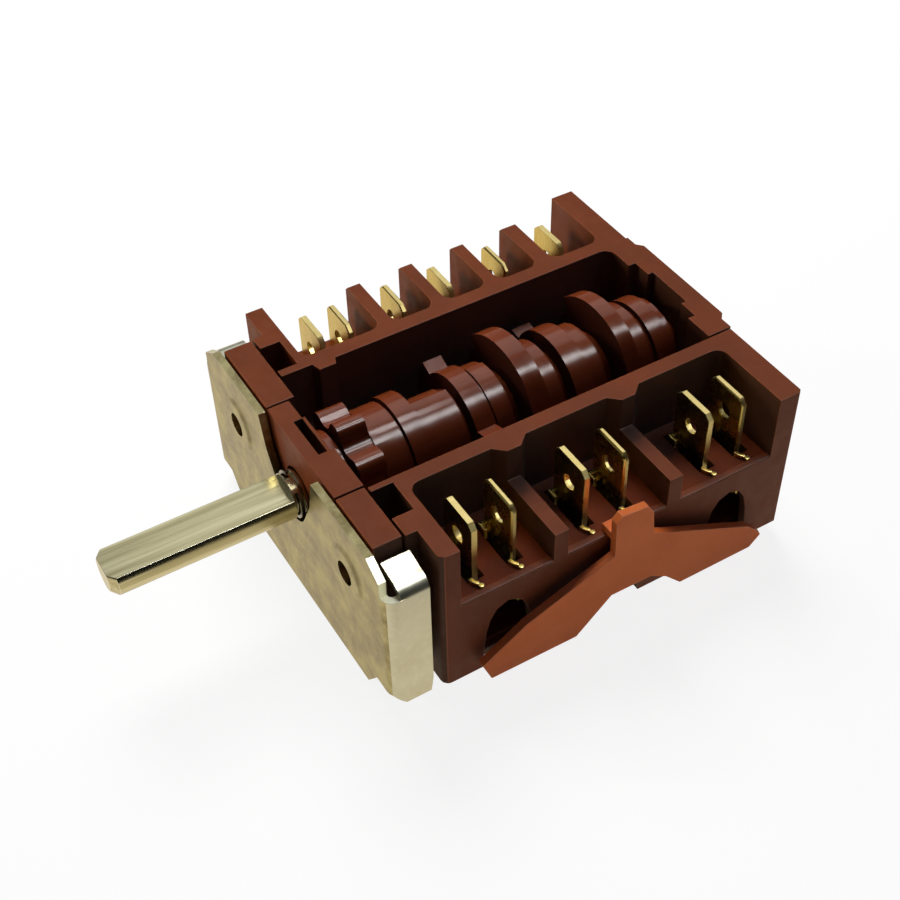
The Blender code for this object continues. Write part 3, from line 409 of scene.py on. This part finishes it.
# A sealing rib along the foot of the right block enters the joint with the housing and closes it,
# so that no crumb or light passes below the drum. It is moulded with the block.
block_low, block_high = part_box("right_contact_block")
joint_x, rib_width = 0.01095, 0.0004
rib_length = block_high.y - block_low.y - 0.001
rib_low, rib_top = block_low.z + 0.0006, -0.0007
rib = solid_bar((joint_x, (block_low.y + block_high.y) / 2, (rib_low + rib_top) / 2),
                (rib_width, rib_length, rib_top - rib_low))
rib.name = "seam_rib"
# The rib takes the painted-shade brown of the chambers.
soften(rib, width=0.00003, finish=chamber_painted_shade, edge_finish=chamber_painted_shade)
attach(rib, "switch_body")


# The front plate is punched and folded from steel sheet about a millimetre thick, then zinc plated
# and passivated, which leaves soft yellowish blotches and brighter rubbed folds.
def plated(name, low, mid, high, rough, blotch_mm=6.0, relief=0.000008):
    """Zinc plating over rolled sheet: wide blotches, small spangle, faint scratches."""
    material, tree, place = new_finish(name)
    blotch = fine_noise(tree, place, blotch_mm, 4.0, 0.6)
    spangle = fine_noise(tree, place, 0.9, 3.0, 0.6)
    body = blend_colours(tree, spread(tree, blotch, 0.0, 1.0, 0.35, 0.65), low, mid)
    colour = blend_colours(tree, spread(tree, spangle, 0.0, 0.3, 0.5, 0.75), body, high)
    dull = spread(tree, blotch, rough - 0.05, rough + 0.1)
    stretched = add_node(tree, "ShaderNodeMapping", {"Scale": (4.0, 1.0, 0.3)}, {"Vector": place})
    scratch = fine_noise(tree, stretched.outputs[0], 0.8, 2.0)
    bump = add_node(tree, "ShaderNodeBump", {"Strength": 0.35, "Distance": relief},
                    {"Height": scratch})
    close_finish(tree, {"Metallic": 1.0}, {"Base Color": colour, "Roughness": dull,
                                           "Normal": bump.outputs[0]})
    return material


plate_zinc = plated("zinc_plated_sheet", "847852", "BEB585", "D3CEA4", rough=0.33, blotch_mm=4.0)
# The side flanges are the same sheet as the front, in a paler copy of its zinc: painted light.
plate_flange_painted_light = plated("zinc_plated_flange_painted_light", "CAC7AF", "D8D9C4", "E6EADE", rough=0.32)
# The folds are rubbed bright, and the same paler zinc is a painted highlight on the ear's top.
plate_rubbed_fold_and_highlight = plated("zinc_plated_fold_and_painted_highlight", "D0C8A8", "DED7BE", "F2EDDA", rough=0.22)
plate = edged_copy("front_plate", width=0.00012, finish=plate_zinc, edge_finish=plate_rubbed_fold_and_highlight)
plate.data.materials.append(plate_flange_painted_light)
behind_front, flange_inside = 0.0004, 0.0195
# The flanges take the paler copy and the front keeps the darker one: painted light.
for face in plate.data.polygons:
    on_flange = face.center.y > behind_front and abs(face.center.x) > flange_inside
    if on_flange and face.material_index == 0:
        face.material_index = 2

# The right ear is bent in a few degrees further than the left one, as press work leaves it. Its top
# takes the paler, smoother zinc of the folds: a painted highlight, which its own lamp shows white.
ear_left, ear_right = 0.0197, 0.02295
ear_front, ear_low = 0.0017, 0.0139
ear_hinge = (0.0230, 0.0037, 0.0147)
top_right, top_low = 0.0231, 0.0138
pick(plate)
bpy.ops.object.mode_set(mode="EDIT")
bpy.ops.mesh.select_mode(type="VERT")
bpy.ops.mesh.select_all(action="DESELECT")
bpy.ops.object.mode_set(mode="OBJECT")
for vert in plate.data.vertices:
    vert.select = (ear_left < vert.co.x < ear_right and vert.co.y > ear_front
                   and vert.co.z > ear_low)
bpy.ops.object.mode_set(mode="EDIT")
bpy.ops.transform.rotate(value=math.radians(-13.0), orient_axis="Y", center_override=ear_hinge)
bpy.ops.object.mode_set(mode="OBJECT")
# The ear's top takes the paler fold zinc: painted highlight.
for face in plate.data.polygons:
    on_top = ear_left < face.center.x < top_right and face.center.z > top_low
    if on_top and face.normal.z > 0.9:
        face.material_index = 1


# The spindle is turned from free-cutting steel and milled flat for the knob; the ring in its groove
# is spring steel. Turning and milling leave fine lines, and a thin oil film gives it a straw tint.
spindle_bright, turned, turned_place = new_finish("turned_steel")
along = add_node(turned, "ShaderNodeMapping", {"Scale": (1.0, 0.035, 1.0)},
                 {"Vector": turned_place})
mill_lines = fine_noise(turned, along.outputs[0], 0.9, 3.0, 0.6)
round_lines = add_node(turned, "ShaderNodeMapping", {"Scale": (0.05, 5.0, 0.05)},
                       {"Vector": turned_place})
lathe_marks = fine_noise(turned, round_lines.outputs[0], 0.9, 2.0, 0.6)
steel_colour = blend_colours(turned, spread(turned, mill_lines, 0.0, 1.0, 0.32, 0.68),
                             "B0A880", "DAD4AE")
steel_dull = spread(turned, mill_lines, 0.26, 0.14)
steel_bump = add_node(turned, "ShaderNodeBump", {"Strength": 0.15, "Distance": 0.000004},
                      {"Height": lathe_marks})
close_finish(turned, {"Metallic": 1.0}, {"Base Color": steel_colour, "Roughness": steel_dull,
                                         "Normal": steel_bump.outputs[0]})
steel_edge = plated("turned_steel_edge", "D4CFB4", "E2DEC8", "F4F1E2", rough=0.16)
spindle = edged_copy("spindle", width=0.00026, finish=spindle_bright, edge_finish=steel_edge)
spring_steel = plated("spring_steel", "8C8980", "A3A096", "C2BFB4", rough=0.28, blotch_mm=2.0)
for name in ("retaining_ring", "detent_plunger", "detent_spring"):
    nodes[name].data.materials.clear()
    nodes[name].data.materials.append(spring_steel)


# The cam drum is one moulding in a glossier red-brown thermoset, worn bright where the followers
# ride. The sides of its lobes are painted near black and dull: painted shade. Its detent star is
# in front, its journal behind.
drum_brown = moulded("drum_phenolic", "7A361B", "843E20", "944C2E", rough=0.15, grain_mm=0.45,
                     gloss=0.4, relief=0.000002, uneven=0.025)
drum_edge = moulded("drum_phenolic_edge", "864024", "90482A", "A25E3C", rough=0.14, grain_mm=0.45,
                    gloss=0.4, relief=0.000002, uneven=0.02)
# The flat sides of the lobes are painted near black: painted shade.
drum_painted_shade = moulded("drum_phenolic_side_painted_shade", "35160D", "3E1B10", "4C2617", rough=0.6, gloss=0.12)
drum = edged_copy("cam_drum", width=0.0002, finish=drum_brown, edge_finish=drum_edge, limit=38.0)
drum.data.materials.append(drum_painted_shade)
# Faces that look along the axis take the painted shade.
for face in drum.data.polygons:
    is_shaded_lobe_side = abs(face.normal.y) > 0.97
    if is_shaded_lobe_side:
        face.material_index = 2


# The terminals are stamped from brass strip, dulled by air, with their edges coined to a chamfer
# that leaves a narrow bright land. The leaves are bronze strip, and the tappets are pale mouldings.
def stamped(name, low, mid, high, rough):
    """Strip metal: rolling lines along the blade and slow tarnish."""
    material, tree, place = new_finish(name)
    tarnish = fine_noise(tree, place, 2.2, 4.0, 0.6)
    stretched = add_node(tree, "ShaderNodeMapping", {"Scale": (1.0, 4.0, 0.15)}, {"Vector": place})
    rolled = fine_noise(tree, stretched.outputs[0], 0.35, 2.0)
    body = blend_colours(tree, spread(tree, tarnish, 0.0, 1.0, 0.35, 0.65), low, mid)
    colour = blend_colours(tree, spread(tree, rolled, 0.0, 0.5, 0.45, 0.75), body, high)
    dull = spread(tree, tarnish, rough - 0.05, rough + 0.1)
    bump = add_node(tree, "ShaderNodeBump", {"Strength": 0.3, "Distance": 0.000006},
                    {"Height": rolled})
    close_finish(tree, {"Metallic": 1.0}, {"Base Color": colour, "Roughness": dull,
                                           "Normal": bump.outputs[0]})
    return material


blade_brass = stamped("rolled_brass", "C8AE58", "D4BC66", "E4D08A", rough=0.26)
blade_edge = stamped("sheared_brass", "E2CC80", "ECD892", "F6E8B4", rough=0.36)
bay_floor = 0.0084
for name in sorted(nodes):
    if name.startswith("terminal_"):
        blade = edged_copy(name, width=0.00021, finish=blade_brass, edge_finish=blade_edge,
                           segments=1, limit=60.0, crisp=35.0)
        for face in blade.data.polygons:
            is_land = abs(face.normal.y) < 0.2 and face.center.z > bay_floor
            face.material_index = 1 if is_land else 0
leaf_bronze = stamped("rolled_bronze", "9A6A40", "B07E4E", "CDA070", rough=0.3)
tappet_pale = moulded("pale_moulding", "B8AA8C", "C8BC9E", "DDD4BC", rough=0.45)
for start, finish in (("leaf_", leaf_bronze), ("tappet_", tappet_pale)):
    for name in sorted(nodes):
        if name.startswith(start):
            nodes[name].data.materials.clear()
            nodes[name].data.materials.append(finish)


# Each blade is locked in its slot by tongues cut from its own strip: one at its inner edge, folded
# back on itself, and on the right side a curved foot with a button that bears on the bay floor.
def brass_bar(low, high):
    """Short bar of strip between two corners, in millimetres from the blade's own place."""
    low, high = Vector(low) / 1000.0, Vector(high) / 1000.0
    return solid_bar((low + high) / 2, high - low)


def wrap_end(piece, toward, centre, angle, steps):
    """Draw the end face that looks towards one side round an upright axis."""
    open_faces(piece, lambda face: face.normal.x * toward > 0.9)
    bpy.ops.mesh.spin(steps=steps, angle=math.radians(angle), center=Vector(centre) / 1000.0,
                      axis=(0.0, 0.0, 1.0))
    bpy.ops.mesh.select_all(action="SELECT")
    bpy.ops.mesh.remove_doubles(threshold=same_place)
    bpy.ops.mesh.normals_make_consistent(inside=False)
    bpy.ops.object.mode_set(mode="OBJECT")


def place_copy(pattern, name, shift, mirrored):
    """Copy a modelled tongue to one blade, in its own mesh."""
    pick(pattern)
    bpy.ops.object.duplicate(linked=False)
    piece = bpy.context.object
    piece.name = name
    piece.scale.x = -1.0 if mirrored else 1.0
    piece.location = shift
    bpy.ops.object.transform_apply(location=True, rotation=True, scale=True)
    bpy.ops.object.mode_set(mode="EDIT")
    bpy.ops.mesh.select_all(action="SELECT")
    bpy.ops.mesh.normals_make_consistent(inside=False)
    bpy.ops.object.mode_set(mode="OBJECT")
    soften(piece, width=0.00018, finish=blade_brass, edge_finish=blade_edge, segments=3)
    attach(piece, "switch_body")


inner_tongue = brass_bar((15.45, -1.42, 7.4), (17.0, -0.95, 9.2))
wrap_end(inner_tongue, toward=-1.0, centre=(15.45, -0.75, 8.3), angle=-170.0, steps=8)
foot = brass_bar((22.2, -1.46, 8.40), (22.4, -0.96, 9.0))
foot_axis = (22.3, 0.12, 8.7)
wrap_end(foot, toward=-1.0, centre=foot_axis, angle=-62.0, steps=6)
wrap_end(foot, toward=1.0, centre=foot_axis, angle=30.0, steps=3)
bpy.ops.object.select_all(action="DESELECT")
bpy.ops.mesh.primitive_cylinder_add(vertices=14, radius=0.00036, depth=0.00042,
                                    location=(0.0237, -0.0005, 0.0086))
bpy.ops.object.transform_apply(location=True, rotation=True, scale=True)
foot.select_set(True)
bpy.context.view_layer.objects.active = foot
bpy.ops.object.join()
tab_above = 0.0155       # only a terminal's tab is above this height
left_bays_out = -0.0019  # the left tabs stand this much further out than the right ones
for name in sorted(nodes):
    if name.startswith("terminal_"):
        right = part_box(name)[1].x > 0.0
        tab = [vert.co.y for vert in nodes[name].data.vertices if vert.co.z > tab_above]
        shift = Vector((0.0 if right else left_bays_out, (min(tab) + max(tab)) / 2, 0.0))
        place_copy(inner_tongue, name.replace("terminal", "tongue"), shift, not right)
        if right:
            place_copy(foot, name.replace("terminal", "foot"), shift, False)
bpy.data.objects.remove(inner_tongue)
bpy.data.objects.remove(foot)


# The latch clip is moulded in orange-brown polyester and snaps over the side of the right block.
# The mould leaves it a satin skin, and handling has rubbed its edges pale.
clip_orange = moulded("orange_brown_moulding", "DE6E34", "E6773B", "EC8C54", rough=0.44, gloss=0.12)
clip_edge = moulded("orange_brown_edge", "E07C48", "E88852", "F09C6A", rough=0.38, gloss=0.25)
clip = edged_copy("side_clip", width=0.00018, finish=clip_orange, edge_finish=clip_edge)
